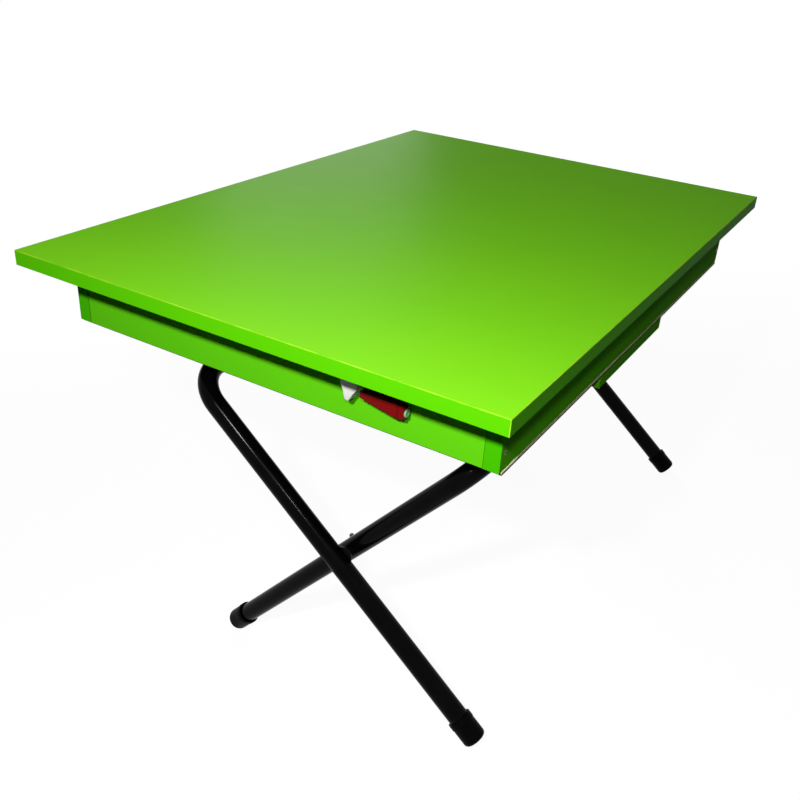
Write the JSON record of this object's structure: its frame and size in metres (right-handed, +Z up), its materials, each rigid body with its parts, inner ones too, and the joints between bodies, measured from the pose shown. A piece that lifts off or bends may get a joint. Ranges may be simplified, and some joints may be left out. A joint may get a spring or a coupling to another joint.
{
  "type": "folding sewing table",
  "caption": "Low folding sewing table: a sloping laminated lid hinged on a shallow storage tray, carried by two crossed frames of bent tube that fold flat under it.",
  "frame": {"origin": "on the floor, under the middle of the lid", "axes": "+Z up, +X towards the sitter across the short way of the lid, +Y along its long way"},
  "size_m": [0.5584, 0.78, 0.4841],
  "materials": {
    "green_laminate": "gloss laminate",
    "edge_band": "gloss band",
    "hardboard": "raw",
    "black_tube": "gloss paint",
    "black_cap": "satin",
    "black_nylon": "matte",
    "white_nylon": "satin",
    "red_plastic": "gloss",
    "pale_green_plastic": "gloss",
    "zinc_steel": "zinc plated"
  },
  "bodies": {
    "tray": {"bearer": "green_laminate", "bearer_screws": "zinc_steel", "bearing_block_back": "black_nylon", "bearing_block_front": "black_nylon", "block_screws": "zinc_steel", "bottom_nails": "zinc_steel", "catch_rail": "zinc_steel", "glide_strip_back": "white_nylon", "glide_strip_front": "white_nylon", "guide_screws": "zinc_steel", "hinge_pin_back": "zinc_steel", "hinge_pin_front": "zinc_steel", "hinge_screws_tray": "zinc_steel", "hinge_tray_leaf_back": "zinc_steel", "hinge_tray_leaf_front": "zinc_steel", "rail_screws": "zinc_steel", "slide_guide_back": "zinc_steel", "slide_guide_front": "zinc_steel", "tray_back": "green_laminate", "tray_bottom": "hardboard", "tray_end_bands_left": "edge_band", "tray_end_bands_right": "edge_band", "tray_front": "green_laminate", "tray_screws": "zinc_steel", "tray_side_left": "green_laminate", "tray_side_right": "green_laminate"},
    "catch": {"catch_bolt": "red_plastic", "catch_button": "pale_green_plastic"},
    "lid": {"hinge_lid_leaf_back": "zinc_steel", "hinge_lid_leaf_front": "zinc_steel", "hinge_screws_lid": "zinc_steel", "keeper": "white_nylon", "keeper_screws": "zinc_steel", "lid_band": "edge_band", "lid_board": "green_laminate"},
    "inner_legs": {"inner_cap_back": "black_cap", "inner_cap_front": "black_cap", "inner_frame": "black_tube"},
    "outer_legs": {"outer_cap_back": "black_cap", "outer_cap_front": "black_cap", "outer_frame": "black_tube", "pivot_spacer_back": "white_nylon", "pivot_spacer_front": "white_nylon", "pivot_stud_back": "zinc_steel", "pivot_stud_front": "zinc_steel", "pivot_washer_back": "zinc_steel", "pivot_washer_front": "zinc_steel", "wing_nut_back": "zinc_steel", "wing_nut_front": "zinc_steel"}
  },
  "joints": [
    {"name": "lid_hinge", "type": "hinge", "parent": "tray", "child": "lid", "pos_m": [-0.25779, 0, 0.4619], "axis": [0, -1, 0], "range_deg": [0, 102]},
    {"name": "leg_fold", "type": "hinge", "parent": "tray", "child": "inner_legs", "pos_m": [0.20289, 0, 0.31339], "axis": [0, 1, 0], "range_deg": [0, 45]},
    {"name": "leg_cross", "type": "hinge", "parent": "inner_legs", "child": "outer_legs", "pos_m": [0.04971, 0, 0.17345], "axis": [0, -1, 0], "range_deg": [0, 81.62]},
    {"name": "catch_slide", "type": "slide", "parent": "tray", "child": "catch", "axis": [-0.9942, 0, 0.1078], "range_m": [0, 0.014]}
  ],
  "couplings": [
    {"joint": "leg_cross", "follows": "leg_fold", "ratio": 1.8128}
  ]
}
